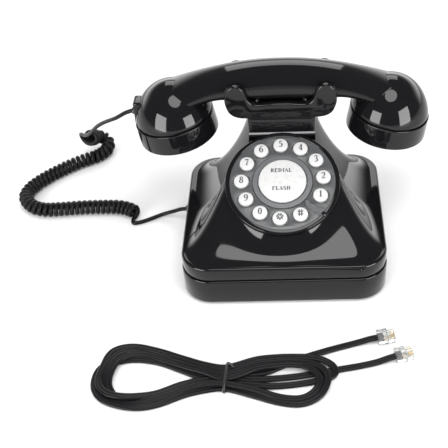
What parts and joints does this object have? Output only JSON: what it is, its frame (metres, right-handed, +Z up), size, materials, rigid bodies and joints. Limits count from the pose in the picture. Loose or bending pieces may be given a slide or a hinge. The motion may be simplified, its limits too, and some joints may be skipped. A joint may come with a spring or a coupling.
{
  "type": "push-button desk telephone",
  "caption": "Desk telephone with a pagoda-shaped base, tilted dial-style keypad, four-horned cradle, coiled-cord handset and a tied flat line cord.",
  "frame": {"origin": "centre of the telephone's footprint, on the surface that its feet stand on; the footprint's box takes in the handset and leaves the cords out", "axes": "+Z up, +X to the right as seen by someone facing the dial, +Y to the back; the front faces -Y"},
  "size_m": [0.3325, 0.303, 0.1353],
  "materials": {
    "black_gloss": "high gloss moulded",
    "hook_black": "satin",
    "dial_grey": "satin, fine texture",
    "key_white": "satin gloss",
    "foot_rubber": "matte",
    "steel": "zinc plated",
    "ballast_iron": "as cut",
    "silicone": "matte",
    "circuit_board": "solder mask",
    "ribbon_grey": "satin",
    "inner_plastic": "satin",
    "contact_gold": "polished",
    "cord_pvc": "satin",
    "plug_clear": "clear polycarbonate"
  },
  "bodies": {
    "base": {"base_tray": "black_gloss", "rubber_feet": "foot_rubber", "base_screws": "steel", "upper_housing": "black_gloss", "neck_panel": "black_gloss", "cradle": "black_gloss", "cradle_screws": "steel", "dial_ring": "black_gloss", "dial_plate": "dial_grey", "dial_inner_ring": "dial_grey", "finger_stop": "dial_grey", "keypad_membrane": "silicone", "keypad_pcb": "circuit_board", "rocker_pin": "steel", "main_pcb": "circuit_board", "ribbon_cable": "ribbon_grey", "hook_switch": "inner_plastic", "hook_spring": "steel", "ringer": "inner_plastic", "ballast_weight": "ballast_iron", "line_jack": "hook_black", "jack_contacts": "contact_gold", "cord_grommet": "foot_rubber", "handset_cord_coil": "cord_pvc", "base_cord_lead": "cord_pvc"},
    "handset": {"handset_shell": "black_gloss", "handle_cover": "black_gloss", "handset_screws": "steel", "ear_cap": "black_gloss", "mouth_cap": "black_gloss", "receiver_speaker": "inner_plastic", "microphone": "steel", "handset_weight": "ballast_iron", "handset_cord_boot": "foot_rubber", "handset_cord_lead": "cord_pvc"},
    "hook": {"hook_plungers": "hook_black"},
    "rocker": {"center_rocker": "key_white"},
    "line_cord": {"line_cord_hank": "cord_pvc", "line_cord_tail_a": "cord_pvc", "line_cord_tail_b": "cord_pvc", "line_cord_tie": "cord_pvc", "line_plug_a": "plug_clear", "line_plug_b": "plug_clear"},
    "key_1": {"key_1": "key_white"},
    "key_2": {"key_2": "key_white"},
    "key_3": {"key_3": "key_white"},
    "key_4": {"key_4": "key_white"},
    "key_5": {"key_5": "key_white"},
    "key_6": {"key_6": "key_white"},
    "key_7": {"key_7": "key_white"},
    "key_8": {"key_8": "key_white"},
    "key_9": {"key_9": "key_white"},
    "key_0": {"key_0": "key_white"},
    "key_star": {"key_star": "key_white"},
    "key_hash": {"key_hash": "key_white"}
  },
  "joints": [
    {"name": "handset_lift", "type": "slide", "parent": "base", "child": "handset", "axis": [0, 0, 1], "range_m": [0, 0.09], "deforming": ["handset_cord_lead"]},
    {"name": "hook_rise", "type": "slide", "parent": "base", "child": "hook", "axis": [0, 0, 1], "range_m": [0, 0.005], "deforming": ["hook_spring"]},
    {"name": "redial_flash_rock", "type": "hinge", "parent": "base", "child": "rocker", "pos_m": [0, -0.01384, 0.06464], "axis": [1, 0, 0], "range_deg": [-2.5, 2.5], "stiffness_Nm_per_rad": 0.15},
    {"name": "line_cord_lift", "type": "slide", "parent": "base", "child": "line_cord", "axis": [0, 0, 1], "range_m": [0, 0.06]},
    {"name": "key_1_press", "type": "slide", "parent": "base", "child": "key_1", "axis": [0, 0.3955, -0.9184], "range_m": [0, 0.0012], "stiffness_N_per_m": 400, "springref_m": -0.0006},
    {"name": "key_2_press", "type": "slide", "parent": "base", "child": "key_2", "axis": [0, 0.3955, -0.9184], "range_m": [0, 0.0012], "stiffness_N_per_m": 400, "springref_m": -0.0006},
    {"name": "key_3_press", "type": "slide", "parent": "base", "child": "key_3", "axis": [0, 0.3955, -0.9184], "range_m": [0, 0.0012], "stiffness_N_per_m": 400, "springref_m": -0.0006},
    {"name": "key_4_press", "type": "slide", "parent": "base", "child": "key_4", "axis": [0, 0.3955, -0.9184], "range_m": [0, 0.0012], "stiffness_N_per_m": 400, "springref_m": -0.0006},
    {"name": "key_5_press", "type": "slide", "parent": "base", "child": "key_5", "axis": [0, 0.3955, -0.9184], "range_m": [0, 0.0012], "stiffness_N_per_m": 400, "springref_m": -0.0006},
    {"name": "key_6_press", "type": "slide", "parent": "base", "child": "key_6", "axis": [0, 0.3955, -0.9184], "range_m": [0, 0.0012], "stiffness_N_per_m": 400, "springref_m": -0.0006},
    {"name": "key_7_press", "type": "slide", "parent": "base", "child": "key_7", "axis": [0, 0.3955, -0.9184], "range_m": [0, 0.0012], "stiffness_N_per_m": 400, "springref_m": -0.0006},
    {"name": "key_8_press", "type": "slide", "parent": "base", "child": "key_8", "axis": [0, 0.3955, -0.9184], "range_m": [0, 0.0012], "stiffness_N_per_m": 400, "springref_m": -0.0006},
    {"name": "key_9_press", "type": "slide", "parent": "base", "child": "key_9", "axis": [0, 0.3955, -0.9184], "range_m": [0, 0.0012], "stiffness_N_per_m": 400, "springref_m": -0.0006},
    {"name": "key_0_press", "type": "slide", "parent": "base", "child": "key_0", "axis": [0, 0.3955, -0.9184], "range_m": [0, 0.0012], "stiffness_N_per_m": 400, "springref_m": -0.0006},
    {"name": "key_star_press", "type": "slide", "parent": "base", "child": "key_star", "axis": [0, 0.3955, -0.9184], "range_m": [0, 0.0012], "stiffness_N_per_m": 400, "springref_m": -0.0006},
    {"name": "key_hash_press", "type": "slide", "parent": "base", "child": "key_hash", "axis": [0, 0.3955, -0.9184], "range_m": [0, 0.0012], "stiffness_N_per_m": 400, "springref_m": -0.0006}
  ],
  "couplings": [
    {"joint": "hook_rise", "follows": "handset_lift", "ratio": 0.0555}
  ]
}
